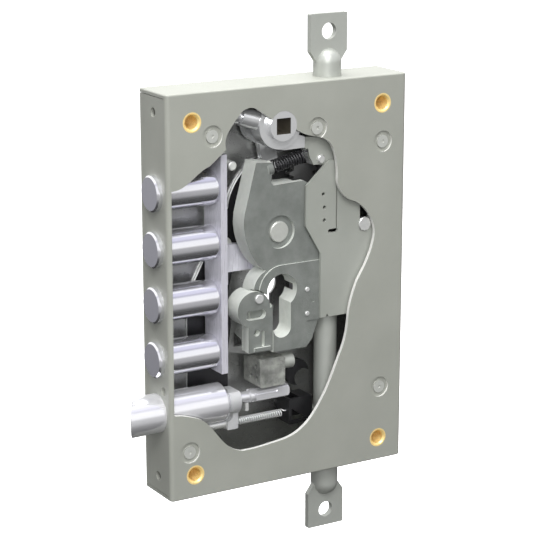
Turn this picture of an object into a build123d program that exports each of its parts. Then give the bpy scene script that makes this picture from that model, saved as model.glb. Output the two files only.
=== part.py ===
from build123d import *
import os
from math import acos, atan2, ceil, cos, degrees, hypot, pi, radians, sin, sqrt, tan

# Places: x runs right from the bolt edge, y back from the cover's face, z up from the bottom.
# The last step moves every piece to the frame whose origin is the centre of the four fixing
# inserts, in the plane of the lock's back.

# Case
case_width = 138.0
case_height = 205.0
case_depth = 27.0
sheet = 2.0
back_sheet = 1.5
bend_radius = 2.2
edge_radius = 0.8
seam_width = 0.35
overrun = 6.0

# Clearances
slide_fit = 0.06
pin_fit = 0.04
side_gap = 0.3
seat_gap = 0.05

# Main places, which follow the case
hub_x = case_width * 0.47174
hub_z = case_height * 0.89854
gear_x = case_width * 0.48116
gear_z = case_height * 0.63171
rod_x = case_width * 0.71449
latch_z = case_height * 0.21171
body_z = case_height * 0.32439
pinion_rise = 1.5
pinion_z = gear_z + pinion_rise
cylinder_offset = 0.8
cylinder_x = gear_x + cylinder_offset
cylinder_below_hub = case_height * 0.41463
cylinder_z = hub_z - cylinder_below_hub

# Fixing inserts
insert_left = case_width * 0.10072
insert_bottom = case_height * 0.05951
insert_pitch_x = case_width * 0.79348
insert_pitch_z = case_height * 0.87073
insert_diameter = 10.0
insert_bore = 6.8
insert_countersink = 0.9

# Rivet posts
post_diameter = case_width * 0.06522
rivet_diameter = 6.5
rivet_recess_diameter = 11.0
rivet_recess_depth = 1.1
rivet_dimple_diameter = 1.8
rivet_dimple_depth = 0.5
post_place_shares = [(0.182, 0.892), (0.614, 0.885), (0.898, 0.834), (0.898, 0.196), (0.080, 0.119)]

# Deadbolts and their carrier
bolt_count = 4
bolt_pitch = case_height * 0.13659
bolt_top_z = case_height * 0.75707
bolt_diameter = 18.0
bolt_axis_y = 13.5
bolt_proud = 2.8
bolt_throw = 28.0
bolt_chamfer = 0.8
bolt_shoulder = 2.2
carrier_x = case_width * 0.23333
carrier_thick = 3.5
carrier_front_y = 5.0
carrier_back_y = 22.0
carrier_below = 4.6
carrier_above = 17.0
carrier_tongue_height = 6.0
carrier_tongue_width = 12.0
shank_diameter = 8.0
shank_head_diameter = 11.0
shank_head_height = 1.6

# Latch
latch_diameter = 20.0
latch_nose_x = -19.6
latch_nose_land = 0.8
latch_bevel_angle = 58.0
latch_body_end_offset = 3.0
latch_body_end_x = carrier_x + latch_body_end_offset
latch_cone_length = 3.0
latch_cone_diameter = 14.0
latch_tail_diameter = 5.7
collar_x = latch_body_end_x + latch_cone_length
latch_head_offset = 13.4
latch_head_x = collar_x + latch_head_offset
latch_tail_length = 37.3
latch_tail_end_x = collar_x + latch_tail_length
latch_head_diameter = 7.2
latch_head_flat = 2.6
collar_thick = 6.0
collar_diameter = 15.0
collar_arm_width = 7.0
collar_top = 5.3
collar_foot_drop = 2.6
hook_offset = 12.4
hook_x = collar_x + hook_offset
hook_diameter = 2.4
hook_length = 4.2
latch_pin_diameter = 3.0
plunger_drop = 12.4
plunger_z = latch_z - plunger_drop
plunger_diameter = 4.4
plunger_length = 18.0

# Springs
latch_spring_diameter = 4.0
latch_spring_wire = 0.65
latch_spring_pitch = 1.295
hub_spring_diameter = 7.0
hub_spring_wire = 0.85
hub_spring_pitch = 1.47
samples_per_arc = 6
straight_limit = 1e-9

# Handle hub
hub_diameter = 15.0
hub_square = 8.0
hub_turn = 20.0
hub_arm_angle = 164.7
hub_arm_y = 8.8
hub_arm_root_radius = 6.2
hub_arm_end_radius = 4.6
hub_arm_length = 21.0
hub_neck_radius = 3.0
hub_neck_length = 1.4
hub_tip_radius = 4.3
hub_tip_length = 4.0
hub_tip_round = 2.6
lug_front_y = 5.1
lug_back_y = 11.9
finger_radius = 22.5
finger_pin_diameter = 4.0
finger_front_y = 19.4
finger_arm_width = 9.0

# Latch lever
lever_front_y = 23.8
lever_thick = 1.4
lever_pivot_x = case_width * 0.31884
lever_pivot_z = case_height * 0.59317
lever_pivot_diameter = 6.0

# Rods
rod_diameter = 12.0
rod_end_diameter = 14.2
rod_tab_width = 21.6
rod_tab_thick = 3.2
rod_tab_height = 19.0
rod_tab_taper = 5.6
rod_eye_diameter = 8.4
rod_eye_from_tip = 9.0
upper_rod_tip_rise = 31.4
upper_rod_tip_z = case_height + upper_rod_tip_rise
lower_rod_tip_z = -36.2

# Gear train: a double gear drives the bolt slide and the rods' racks
gear_module = 1.25
tooth_addendum = 1.0
tooth_dedendum = 1.5
tooth_backlash = 0.24
pressure_angle = 20.0
bolt_gear_teeth = 20
rod_gear_teeth = 17
pinion_teeth = 12
axle_diameter = 8.0
pinion_pin_diameter = 5.0

# Layers of the mechanism, front to back
plate_front_y = 3.3
plate_thick = 1.5
body_face_y = 5.6
boss_face_y = 4.8
body_face_thick = 3.2
body_back_y = 16.5
rod_rack_front_y = 12.4
rod_rack_back_y = 16.6
bolt_rack_front_y = 17.2
bolt_rack_back_y = 19.8
slide_back_y = 22.6

# Cylinder opening
cylinder_diameter = 17.0
cylinder_slot = 10.0
cylinder_height = 33.0
cylinder_margin = 0.2
cam_reach = 15.4
cam_notch_width = 10.5

# Left edge: fixing screws and the small hole above the latch
edge_screw_low_z = case_height * 0.04878
edge_screw_pitch = case_height * 0.90244
edge_screw_y = 13.5
edge_screw_diameter = 4.8
small_hole_y = 6.8
small_hole_z = case_height * 0.27512
small_hole_diameter = 4.4
rivet_head_proud = 0.8

# Legs and screws of the cast body
leg_diameter = 6.4
screw_diameter = 4.0
screw_head_diameter = 7.0
screw_length = 7.0
slit_width = 0.7
leg_place_shares = [(0.5597, 0.8192), (0.2752, 0.1950), (0.5051, 0.0361)]

# Gears, racks and their guides
gear_overlap = 0.2
gear_collar_diameter = 12.6
gear_room_wall = 3.4
recess_diameter = 17.0
recess_depth = 1.8
axle_head_diameter = 10.6
axle_head_sunk = 0.4
pinion_collar_diameter = 9.0
pin_head_height = 1.4
pin_head_share = 1.5
slide_bottom_drop = 21.1
slide_bottom_z = gear_z - slide_bottom_drop
slide_top_drop = 6.9
slide_top_z = gear_z - slide_top_drop
slide_foot_thick = 2.5
slide_foot_front_y = 9.0
slide_foot_bottom_drop = 24.3
slide_foot_bottom_z = gear_z - slide_foot_bottom_drop
slide_foot_top_drop = 8.3
slide_foot_top_z = gear_z - slide_foot_top_drop
rack_margin = 4.4
rack_end = 1.5
rack_back = 4.4
guide_rib_length = 11.0
guide_rib_depth = 1.8
guide_rib_drop = 14.5
guide_rib_z = gear_z - guide_rib_drop
guide_rib_height = 3.8
guide_wall = 3.0

# Rod blocks and joints
lower_block_drop = 47.0
lower_block_z = pinion_z - lower_block_drop
upper_block_rise = 13.0
upper_block_z = pinion_z + upper_block_rise
upper_block_front_y = 7.6
block_height = 16.0
block_wall = 3.0
tenon_step = 1.5
rod_joint_depth = 12.0
upper_rod_joint_z = case_height * 0.87805
lower_rod_joint_z = case_height * 0.14634
rod_tab_round = 0.6
rod_neck_step = 0.3

# Front plate of the lower slider and its fixed pin
slider_x = case_width * 0.58116
slider_z = case_height * 0.4
slider_width = case_width * 0.33913
hub_to_slider = case_height * 0.09951
slider_height = hub_z - hub_to_slider - slider_z
slider_small_hole = 1.9
slot_fit = 0.2
slider_pin_offset = 16.7
slider_pin_x = rod_x + slider_pin_offset
slider_pin_drop = 2.5
slider_pin_z = pinion_z - slider_pin_drop
slider_pin_diameter = 5.0
slider_post_diameter = 5.6
slider_head_height = 0.7
slider_head_diameter = 7.4

# Cast body
body_x = case_width * 0.32609
body_width = case_width * 0.33043
hub_to_body = case_height * 0.08634
body_height = hub_z - hub_to_body - body_z
boss_diameter = 26.4
body_pin_diameter = 2.6
body_pin_proud = 0.7
body_pin_place_shares = [(0.8109, 0.31285), (0.8109, 0.18575)]
slit_length = 3.0
slit_depth = 0.5
slit_angle = 25.0

# Hub details
spring_y = 8.3
spring_left_x = case_width * 0.45217
spring_left_z = case_height * 0.7922
spring_right_x = case_width * 0.6029
spring_right_z = case_height * 0.81415
spring_boss_length = 3.0
hub_sleeve_diameter = 24.0
hub_web_front_y = 3.2
hub_web_step = 1.2
web_x = case_width * 0.41304
web_z = case_height * 0.78927
web_width = case_width * 0.2971
web_height = case_height * 0.09366
web_step_share = 0.56
lug_thick = 2.1
finger_back_y = 23.4
hub_pin_x = case_width * 0.65
hub_pin_z = case_height * 0.80293
hub_pin_diameter = 2.4
hub_pin_head = 4.4
hub_pin_proud = 1.4

# Lever details
lever_x = case_width * 0.16304
lever_z = case_height * 0.18537
lever_width = case_width * 0.31957
lever_height = case_height * 0.61463
stop_x = case_width * 0.33696
stop_z = case_height * 0.79512
stop_diameter = 5.0
stop_front_y = 18.0

# Latch details
collar_lug_height = 6.8
tail_groove_rise = 0.6
tail_groove_width = 0.9
bracket_offset = 24.6
bracket_x = rod_x - bracket_offset
bracket_width = 14.0
bracket_front_y = 9.0
bracket_depth = 12.5
bracket_drop = 5.5
bracket_z = plunger_z - bracket_drop
bracket_height = 13.5
bracket_sheet = 1.6
bracket_foot_diameter = 6.0
foot_x_shares = (0.28, 0.74)
cam_front_y = 17.5
cam_back_y = 21.5
cam_offset = 14.6
cam_x = rod_x - cam_offset
cam_rise = 6.6
cam_z = latch_z + cam_rise
cam_diameter = 14.0
cam_hollow_diameter = 10.0

# Stop pawl, guide plate and cast block
pawl_offset = 16.4
pawl_x = cylinder_x - pawl_offset
pawl_drop = 7.8
pawl_z = cylinder_z - pawl_drop
pawl_diameter = 18.8
pawl_front_y = 4.9
pawl_back_y = 8.1
pawl_flank_y = 16.0
pawl_drum_cut = 1.2
pawl_room_gap = 0.8
pawl_arm_left_offset = 3.2
pawl_arm_left_x = pawl_x - pawl_arm_left_offset
pawl_arm_right_offset = 10.9
pawl_arm_right_x = pawl_x + pawl_arm_right_offset
pawl_arm_low_drop = 22.4
pawl_arm_low_z = pawl_z - pawl_arm_low_drop
pawl_slot_drop = 2.9
pawl_slot_length = 7.0
pawl_slot_width = 4.8
pawl_slot_shift = 1.0
pawl_hole_drop = 12.4
pawl_hole_z = pawl_z - pawl_hole_drop
pawl_hole_diameter = 3.4
pawl_slit_share = 0.6
pawl_slit_width = 1.6
pawl_foot_proud = 1.2
pawl_pin_offset = 2.8
pawl_pin_x = pawl_x + pawl_pin_offset
pawl_pin_rise = 5.3
pawl_pin_z = pawl_z + pawl_pin_rise
pawl_pin_diameter = 3.6
pawl_pin_head = 5.0
pawl_pin_proud = 1.1
pawl_pin_back_y = 14.0
guide_offset = 8.8
guide_x = pawl_x - guide_offset
guide_drop = 26.8
guide_z = pawl_z - guide_drop
guide_width = 19.6
guide_height = 26.5
guide_thick = 1.8
block_x = case_width * 0.39783
block_width = 14.9
block_front_y = 6.0
block_back_y = 22.6
block_z = case_height * 0.23902
block_tall = case_height * 0.07268
block_chamfer = 0.8
block_hole_diameter = 2.6
block_hole_depth = 4.0
stub_diameter = 8.0
stub_length = 6.6

back_plate_y = case_depth - back_sheet
bolt_gear_radius = gear_module * bolt_gear_teeth / 2
rod_gear_radius = gear_module * rod_gear_teeth / 2
pinion_radius = gear_module * pinion_teeth / 2
rod_throw = bolt_throw * rod_gear_radius / bolt_gear_radius
to_frame = Pos(-insert_left - insert_pitch_x / 2, -case_depth, -insert_bottom - insert_pitch_z / 2)


def box(x0, x1, y0, y1, z0, z1):
    """A block between two corners."""
    return Pos((x0 + x1) / 2, (y0 + y1) / 2, (z0 + z1) / 2) * Box(x1 - x0, y1 - y0, z1 - z0)


def rod_along_x(x0, x1, y, z, diameter):
    return Pos((x0 + x1) / 2, y, z) * Rot(0, 90, 0) * Cylinder(diameter / 2, x1 - x0)


def rod_along_y(y0, y1, x, z, diameter):
    return Pos(x, (y0 + y1) / 2, z) * Rot(90, 0, 0) * Cylinder(diameter / 2, y1 - y0)


def rod_along_z(z0, z1, x, y, diameter):
    return Pos(x, y, (z0 + z1) / 2) * Cylinder(diameter / 2, z1 - z0)


def plate(points, y0, y1):
    """A flat piece with straight sides, from (x, z) points, between two depths."""
    ring = [Vector(x, y0, z) for x, z in points]
    face = make_face(Polyline(*ring, close=True))
    return extrude(face.faces()[0], y1 - y0, dir=(0, 1, 0))


def curved_plate(stretches, y0, y1):
    """A flat piece whose outline is a chain of stretches: two points are a line, more a curve."""
    edges = []
    start = stretches[-1][-1]
    for stretch in stretches:
        chain = [start] + list(stretch)
        ring = [Vector(x, y0, z) for x, z in chain]
        edges.append(Line(*ring) if len(ring) == 2 else Spline(*ring))
        start = stretch[-1]
    face = make_face(edges)
    return extrude(face.faces()[0], y1 - y0, dir=(0, 1, 0))


def on_case(shares):
    """Points given as shares of the case's width and height."""
    return [(case_width * u, case_height * v) for u, v in shares]


def within(shares, x, z, width, height):
    """Points given as shares of a rectangle whose lower left corner is at (x, z)."""
    return [(x + u * width, z + v * height) for u, v in shares]


def slot_along_z(x, z0, z1, width, y0, y1):
    """A round-ended slot between two centres."""
    body = box(x - width / 2, x + width / 2, y0, y1, z0, z1)
    return body + rod_along_y(y0, y1, x, z0, width) + rod_along_y(y0, y1, x, z1, width)


def slot_along_x(x0, x1, z, width, y0, y1):
    body = box(x0, x1, y0, y1, z - width / 2, z + width / 2)
    return body + rod_along_y(y0, y1, x0, z, width) + rod_along_y(y0, y1, x1, z, width)


def cylinder_opening(y0, y1, margin):
    """The cylinder's profile: a round top and a narrow body below it."""
    top = rod_along_y(y0, y1, cylinder_x, cylinder_z, cylinder_diameter + 2 * margin)
    low_z = cylinder_z + cylinder_diameter / 2 - cylinder_height + cylinder_slot / 2
    return top + slot_along_z(cylinder_x, low_z, cylinder_z, cylinder_slot + 2 * margin, y0, y1)


def save(name, *pieces):
    shapes = [to_frame * piece for piece in pieces]
    solids = [solid for shape in shapes for solid in shape.solids()]
    whole = solids[0] if len(solids) == 1 else Compound(children=solids)
    export_step(whole, f"parts/{name}.step")


body_frame = body_x, body_z, body_width, body_height
leg_places = within(leg_place_shares, *body_frame)
body_pin_places = within(body_pin_place_shares, *body_frame)


def window_stretches():
    """The cut-away opening of the cover, clockwise from its upper left corner."""
    left_x_share = (sheet + seam_width) / case_width
    upper_left_shares = [(0.078, 0.784), (0.126, 0.807), (0.170, 0.822)]
    step_shares = [(0.236, 0.857)]
    arm_top_shares = [(0.236, 0.885), (0.277, 0.926), (0.312, 0.948), (0.341, 0.951), (0.366, 0.944)]
    hub_left_shares = [(0.418, 0.920)]
    hub_right_shares = [(0.522, 0.888)]
    beside_hub_shares = [(0.553, 0.876)]
    shoulder_shares = [(0.594, 0.867), (0.641, 0.858), (0.671, 0.843), (0.690, 0.817), (0.700, 0.783),
                       (0.701, 0.751)]
    hollow_shares = [(0.707, 0.734), (0.723, 0.715), (0.777, 0.692)]
    right_shares = [(0.826, 0.667), (0.857, 0.635), (0.867, 0.605), (0.861, 0.580), (0.843, 0.546),
                    (0.813, 0.509), (0.793, 0.488)]
    lower_right_shares = [(0.772, 0.451), (0.757, 0.412), (0.752, 0.378), (0.736, 0.330), (0.703, 0.278),
                          (0.665, 0.221), (0.628, 0.180), (0.586, 0.144), (0.511, 0.112), (0.428, 0.102),
                          (0.346, 0.097), (0.297, 0.097)]
    lower_left_shares = [(0.258, 0.108), (0.221, 0.128), (0.186, 0.157), (0.162, 0.177), (0.131, 0.196),
                         (0.091, 0.208), (0.052, 0.216), (left_x_share, 0.2195)]
    close_shares = [(left_x_share, 0.772)]
    chain = [upper_left_shares, step_shares, arm_top_shares, hub_left_shares, hub_right_shares,
             beside_hub_shares, shoulder_shares, hollow_shares, right_shares, lower_right_shares,
             lower_left_shares, close_shares]
    return [on_case(shares) for shares in chain]


def insert_places():
    rows = [insert_bottom, insert_bottom + insert_pitch_z]
    return [(insert_left + column * insert_pitch_x, z) for z in rows for column in range(2)]


def bolt_places():
    return [bolt_top_z - index * bolt_pitch for index in range(bolt_count)]


def front_cover():
    shell = Box(case_width, case_depth, case_height)
    sides = shell.edges().filter_by(Axis.Z).group_by(Axis.Y)[0]
    shell = fillet(sides, bend_radius)
    ends = [edge for edge in shell.edges().group_by(Axis.Y)[0] if edge.length > case_width / 2]
    ends = [edge for edge in ends if abs(edge.tangent_at(0).X) > abs(edge.tangent_at(0).Z)]
    shell = Pos(case_width / 2, case_depth / 2, case_height / 2) * fillet(ends, edge_radius)
    inside = box(sheet, case_width - sheet, sheet, case_depth + overrun, sheet, case_height - sheet)
    cover = shell - inside - curved_plate(window_stretches(), -overrun, sheet + overrun)
    for x, z in insert_places():
        cover -= rod_along_y(-overrun, sheet + overrun, x, z, insert_diameter + 2 * pin_fit)
    for x, z in on_case(post_place_shares):
        cover -= rod_along_y(-overrun, rivet_recess_depth, x, z, rivet_recess_diameter)
        cover -= rod_along_y(-overrun, sheet + overrun, x, z, rivet_diameter + 2 * pin_fit)
    cover -= rod_along_y(-overrun, sheet + overrun, hub_x, hub_z, hub_diameter + 2 * slide_fit)
    for z in bolt_places():
        cover -= rod_along_x(-overrun, sheet + overrun, bolt_axis_y, z, bolt_diameter + 2 * slide_fit)
    cover -= rod_along_x(-overrun, sheet + overrun, bolt_axis_y, latch_z, latch_diameter + 2 * slide_fit)
    for z in (edge_screw_low_z, edge_screw_low_z + edge_screw_pitch):
        cover -= rod_along_x(-overrun, sheet + overrun, edge_screw_y, z, edge_screw_diameter)
    cover -= rod_along_x(-overrun, sheet + overrun, small_hole_y, small_hole_z, small_hole_diameter)
    hole = rod_end_diameter + 2 * slide_fit
    cover -= rod_along_z(-overrun, case_height + overrun, rod_x, bolt_axis_y, hole)
    for z in (sheet, case_height - sheet - seam_width):
        for x0, x1 in ((-overrun, sheet + seam_width),
                       (case_width - sheet - seam_width, case_width + overrun)):
            cover -= box(x0, x1, bend_radius + seam_width, case_depth + overrun, z, z + seam_width)
    return cover


def back_plate():
    inset = sheet + seat_gap
    back = box(inset, case_width - inset, back_plate_y, case_depth, inset, case_height - inset)
    for x, z in insert_places():
        back -= rod_along_y(back_plate_y - overrun, case_depth + overrun, x, z,
                            insert_diameter + 2 * pin_fit)
    for x, z in on_case(post_place_shares):
        back -= rod_along_y(back_plate_y - overrun, case_depth + overrun, x, z,
                            rivet_diameter + 2 * pin_fit)
    back -= rod_along_y(back_plate_y - overrun, case_depth + overrun, hub_x, hub_z,
                        hub_diameter + 2 * slide_fit)
    back -= cylinder_opening(back_plate_y - overrun, case_depth + overrun, cylinder_margin)
    for x, z in leg_places:
        back -= rod_along_y(back_plate_y - overrun, case_depth + overrun, x, z,
                            screw_head_diameter + 2 * pin_fit)
    return back


def fixing_insert(x, z):
    bush = rod_along_y(0, case_depth, x, z, insert_diameter) - rod_along_y(
        -overrun, case_depth + overrun, x, z, insert_bore)
    mouth = Pos(x, insert_countersink / 2, z) * Rot(90, 0, 0) * Cone(
        insert_bore / 2, insert_bore / 2 + insert_countersink, insert_countersink)
    return bush - mouth


def cover_rivet(x, z):
    """A post between cover and back, riveted through both."""
    post = rod_along_y(sheet, back_plate_y, x, z, post_diameter)
    head = rod_along_y(rivet_recess_depth - rivet_head_proud, sheet, x, z, rivet_diameter)
    dimple = rod_along_y(-overrun, rivet_recess_depth - rivet_head_proud + rivet_dimple_depth, x, z,
                         rivet_dimple_diameter)
    return post + head + rod_along_y(back_plate_y, case_depth, x, z, rivet_diameter) - dimple


def deadbolt(z):
    start = -bolt_proud
    bolt = rod_along_x(start, carrier_x, bolt_axis_y, z, bolt_diameter)
    outer = bolt.edges().group_by(Axis.X)[0]
    bolt = chamfer(outer, bolt_chamfer)
    inner = bolt.edges().group_by(Axis.X)[-1]
    return fillet(inner, bolt_shoulder)


def bolt_carrier():
    bottom = bolt_top_z - (bolt_count - 1) * bolt_pitch - carrier_below
    top = bolt_top_z + carrier_above
    bar = box(carrier_x, carrier_x + carrier_thick, carrier_front_y, carrier_back_y, bottom, top)
    bar += box(carrier_x, carrier_x + carrier_thick, carrier_front_y,
               carrier_front_y + carrier_tongue_width,
               bottom - carrier_tongue_height, bottom)
    for z in bolt_places():
        bar -= rod_along_x(carrier_x - overrun, carrier_x + carrier_thick + overrun, bolt_axis_y, z,
                           shank_diameter + 2 * pin_fit)
    return bar


def bolt_rivet(z):
    """The shank behind one deadbolt, with its riveted head."""
    end = carrier_x + carrier_thick
    shank = rod_along_x(carrier_x, end, bolt_axis_y, z, shank_diameter)
    head = rod_along_x(end, end + shank_head_height, bolt_axis_y, z, shank_head_diameter)
    head = chamfer(head.edges().group_by(Axis.X)[-1], shank_head_height / 2)
    return shank + head


def gear_outline(teeth, x, z, phase):
    """Involute teeth with backlash, as (x, z) points round the gear."""
    pitch = gear_module * teeth / 2
    base = pitch * cos(radians(pressure_angle))
    root = pitch - tooth_dedendum
    tip = pitch + tooth_addendum
    half = pi / (2 * teeth) - tooth_backlash / (4 * pitch)
    at_pitch = tan(radians(pressure_angle)) - radians(pressure_angle)
    start = max(base, root)
    steps = 4
    flank = []
    for index in range(steps + 1):
        radius = start + (tip - start) * index / steps
        roll = acos(base / radius)
        flank.append((radius, half + at_pitch - (tan(roll) - roll)))
    if root < start:
        flank.insert(0, (root, flank[0][1]))
    points = []
    for tooth in range(teeth):
        centre = radians(phase) + 2 * pi * tooth / teeth
        side = [(radius, centre - angle) for radius, angle in flank]
        side += [(radius, centre + angle) for radius, angle in reversed(flank)]
        points += [(x + radius * cos(angle), z + radius * sin(angle)) for radius, angle in side]
    return points


def rack_teeth(count, half_base):
    """One straight rack's outline as (along, out) points about its pitch line, tooth 0 at zero."""
    pitch = pi * gear_module
    slope = tan(radians(pressure_angle))
    half = pitch / 4 - tooth_backlash / 4
    points = []
    for index in range(-half_base, count - half_base):
        centre = index * pitch
        points += [(centre - half - tooth_dedendum * slope, -tooth_dedendum),
                   (centre - half + tooth_addendum * slope, tooth_addendum),
                   (centre + half - tooth_addendum * slope, tooth_addendum),
                   (centre + half + tooth_dedendum * slope, -tooth_dedendum)]
    return points


def throw_gear():
    """Two toothed discs and their collars on one bore: the rear disc drives the bolts."""
    rod_disc = plate(gear_outline(rod_gear_teeth, gear_x, gear_z, 180 / rod_gear_teeth),
                     rod_rack_front_y - gear_overlap, rod_rack_back_y + gear_overlap)
    bolt_disc = plate(gear_outline(bolt_gear_teeth, gear_x, gear_z, 180 / bolt_gear_teeth - 90),
                      bolt_rack_front_y, bolt_rack_back_y - side_gap)
    middle = rod_along_y(rod_rack_back_y, bolt_rack_front_y, gear_x, gear_z,
                         2 * (rod_gear_radius - tooth_dedendum))
    face_back = body_face_y + body_face_thick
    collar = rod_along_y(face_back + side_gap, back_plate_y - side_gap, gear_x, gear_z,
                         gear_collar_diameter)
    bore = rod_along_y(-overrun, case_depth + overrun, gear_x, gear_z, axle_diameter + 2 * pin_fit)
    return rod_disc + middle + bolt_disc + collar - bore


def gear_axle():
    shoulder_y = body_face_y + recess_depth
    head = rod_along_y(body_face_y + axle_head_sunk, shoulder_y, gear_x, gear_z, axle_head_diameter)
    head = chamfer(head.edges().group_by(Axis.Y)[0], axle_head_sunk)
    return head + rod_along_y(shoulder_y, back_plate_y, gear_x, gear_z, axle_diameter)


def reversing_pinion():
    disc = plate(gear_outline(pinion_teeth, rod_x, pinion_z, 180 / pinion_teeth),
                 rod_rack_front_y - gear_overlap, rod_rack_back_y + gear_overlap)
    collar = rod_along_y(rod_rack_back_y, back_plate_y - side_gap, rod_x, pinion_z, pinion_collar_diameter)
    bore = rod_along_y(-overrun, case_depth + overrun, rod_x, pinion_z, pinion_pin_diameter + 2 * pin_fit)
    return disc + collar - bore


def pinion_pin():
    front = rod_rack_front_y - gear_overlap - side_gap
    shank = rod_along_y(front, back_plate_y, rod_x, pinion_z, pinion_pin_diameter)
    head = rod_along_y(front - pin_head_height, front, rod_x, pinion_z,
                       pinion_pin_diameter * pin_head_share)
    return shank + head


def bolt_slide():
    """The bar that carries the deadbolts: a rack for the gear and notches for the cylinder's cam."""
    start = carrier_x + carrier_thick
    pitch_z = gear_z - bolt_gear_radius
    tooth_pitch = pi * gear_module
    before = ceil(rack_margin / tooth_pitch)
    count = 2 * before + ceil(bolt_throw / tooth_pitch) - 1
    end = gear_x + (count - before) * tooth_pitch
    teeth = [(gear_x + along, pitch_z + out) for along, out in rack_teeth(count, before)]
    left = teeth[0][0]
    right = teeth[-1][0]
    rack = plate([(left, slide_bottom_z)] + teeth + [(right, slide_bottom_z)], bolt_rack_front_y,
                 bolt_rack_back_y)
    bar = box(start, end, bolt_rack_back_y, slide_back_y, slide_bottom_z, slide_top_z)
    foot = box(start, start + slide_foot_thick, slide_foot_front_y, slide_back_y, slide_foot_bottom_z,
               slide_foot_top_z)
    rib = box(end - guide_rib_length, end, slide_back_y, slide_back_y + guide_rib_depth,
              guide_rib_z - guide_rib_height / 2, guide_rib_z + guide_rib_height / 2)
    slide = rack + bar + foot + rib
    for index in range(2):
        notch = cylinder_x + (index + 1 / 2) * bolt_throw / 2
        slide -= box(notch - cam_notch_width / 2, notch + cam_notch_width / 2, bolt_rack_front_y - overrun,
                     slide_back_y + seat_gap, slide_bottom_z - overrun, cylinder_z + cam_reach)
    return slide


def slide_guide():
    """The channel on the back plate in which the slide's rib runs."""
    tooth_pitch = pi * gear_module
    before = ceil(rack_margin / tooth_pitch)
    end = gear_x + (before + ceil(bolt_throw / tooth_pitch) - 1) * tooth_pitch
    start = end - guide_rib_length - bolt_throw
    front = slide_back_y + side_gap
    half = guide_rib_height / 2 + guide_wall
    rail = box(start - guide_wall, end, front, back_plate_y, guide_rib_z - half, guide_rib_z + half)
    groove = guide_rib_height / 2 + slide_fit
    return rail - box(start - side_gap, end + overrun, front - overrun,
                      slide_back_y + guide_rib_depth + side_gap,
                      guide_rib_z - groove, guide_rib_z + groove)


def rod_rack_bar():
    """The bar behind the front plate: it meshes with the gear on its left, the pinion on its right."""
    tooth_pitch = pi * gear_module
    before = ceil(rack_margin / tooth_pitch)
    count = 2 * before + ceil(rod_throw / tooth_pitch) - 1
    left_line = gear_x + rod_gear_radius
    right_line = rod_x - pinion_radius
    left = [(left_line - out, gear_z + along) for along, out in rack_teeth(count, before)]
    right = [(right_line + out, pinion_z + along) for along, out in rack_teeth(count, before)]
    bottom = [(right[0][0], lower_block_z), (left[0][0], lower_block_z)]
    top_z = max(left[-1][1], right[-1][1]) + rack_end
    top = [(left[-1][0], top_z), (right[-1][0], top_z)]
    return plate(bottom + left + top + right[::-1], rod_rack_front_y, rod_rack_back_y)


def lower_block():
    """The block that ties the front plate, the rack bar and the lower rod together."""
    left = rod_x - pinion_radius - tooth_dedendum
    core_left = rod_x - rod_diameter / 2 - block_wall / 2
    core_right = rod_x + rod_diameter / 2 + block_wall
    top = lower_block_z + block_height
    core = box(core_left, core_right, plate_front_y + plate_thick, bolt_axis_y + rod_diameter / 2,
               lower_block_z, top)
    arm = box(left, core_left, rod_rack_front_y, rod_rack_back_y, lower_block_z, top)
    bore = rod_along_z(lower_block_z - overrun, top - block_wall, rod_x, bolt_axis_y,
                       rod_diameter + 2 * pin_fit)
    open_back = box(rod_x - rod_diameter / 2 - pin_fit, rod_x + rod_diameter / 2 + pin_fit, bolt_axis_y,
                    bolt_axis_y + rod_diameter, lower_block_z - overrun, top - block_wall)
    return core + arm - bore - open_back


def upper_block():
    """The upper rod's block, with the rack that the pinion lifts."""
    tooth_pitch = pi * gear_module
    after = ceil(rack_margin / tooth_pitch)
    count = 2 * after + ceil(rod_throw / tooth_pitch) - 1
    line = rod_x + pinion_radius
    teeth = [(line - out, pinion_z + along) for along, out in rack_teeth(count, count - after - 1)]
    back = line + tooth_dedendum + rack_back
    bottom = upper_block_z
    top = bottom + block_height
    outline = [(back, teeth[0][1])] + teeth + [(teeth[-1][0], top), (back, top)]
    bar = plate(outline, rod_rack_front_y, rod_rack_back_y)
    left = rod_x - rod_diameter / 2
    core = box(left, line + tooth_dedendum, upper_block_front_y, bolt_axis_y + rod_diameter / 2, bottom, top)
    bore = rod_along_z(bottom + block_wall, top + overrun, rod_x, bolt_axis_y,
                       rod_diameter - 2 * tenon_step + 2 * pin_fit)
    return bar + core - bore


def slider_plate():
    """The flat front plate right of the mechanism body."""
    frame = slider_x, slider_z, slider_width, slider_height
    outline_shares = [(0.004, 0.852), (0.288, 0.998), (1, 0.998), (1, 0), (0.300, 0), (0.278, 0.022),
                      (0.250, 0), (0.192, 0), (0.190, 0.415), (0, 0.600)]
    face = plate(within(outline_shares, *frame), plate_front_y, plate_front_y + plate_thick)
    small_hole_shares = [(0.220, 0.790), (0.235, 0.706), (0.235, 0.624)]
    through_y = plate_front_y - overrun, plate_front_y + plate_thick + overrun
    for x, z in within(small_hole_shares, *frame):
        face -= rod_along_y(*through_y, x, z, slider_small_hole)
    hook_shares = [(0.345, 0.552)]
    for x, z in within(hook_shares, *frame):
        face -= slot_along_x(x - slider_small_hole, x + slider_small_hole, z, slider_small_hole, *through_y)
    slit_x_shares = [(0.389, 0.561), (0.389, 0.998)]
    (slit_x, slit_low), (_, slit_high) = within(slit_x_shares, *frame)
    face -= box(slit_x - slit_width / 2, slit_x + slit_width / 2, *through_y, slit_low,
                slit_high - block_wall)
    face -= slot_along_z(slider_pin_x, slider_pin_z, slider_pin_z + rod_throw,
                         slider_pin_diameter + 2 * slot_fit,
                         *through_y)
    return face


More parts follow.
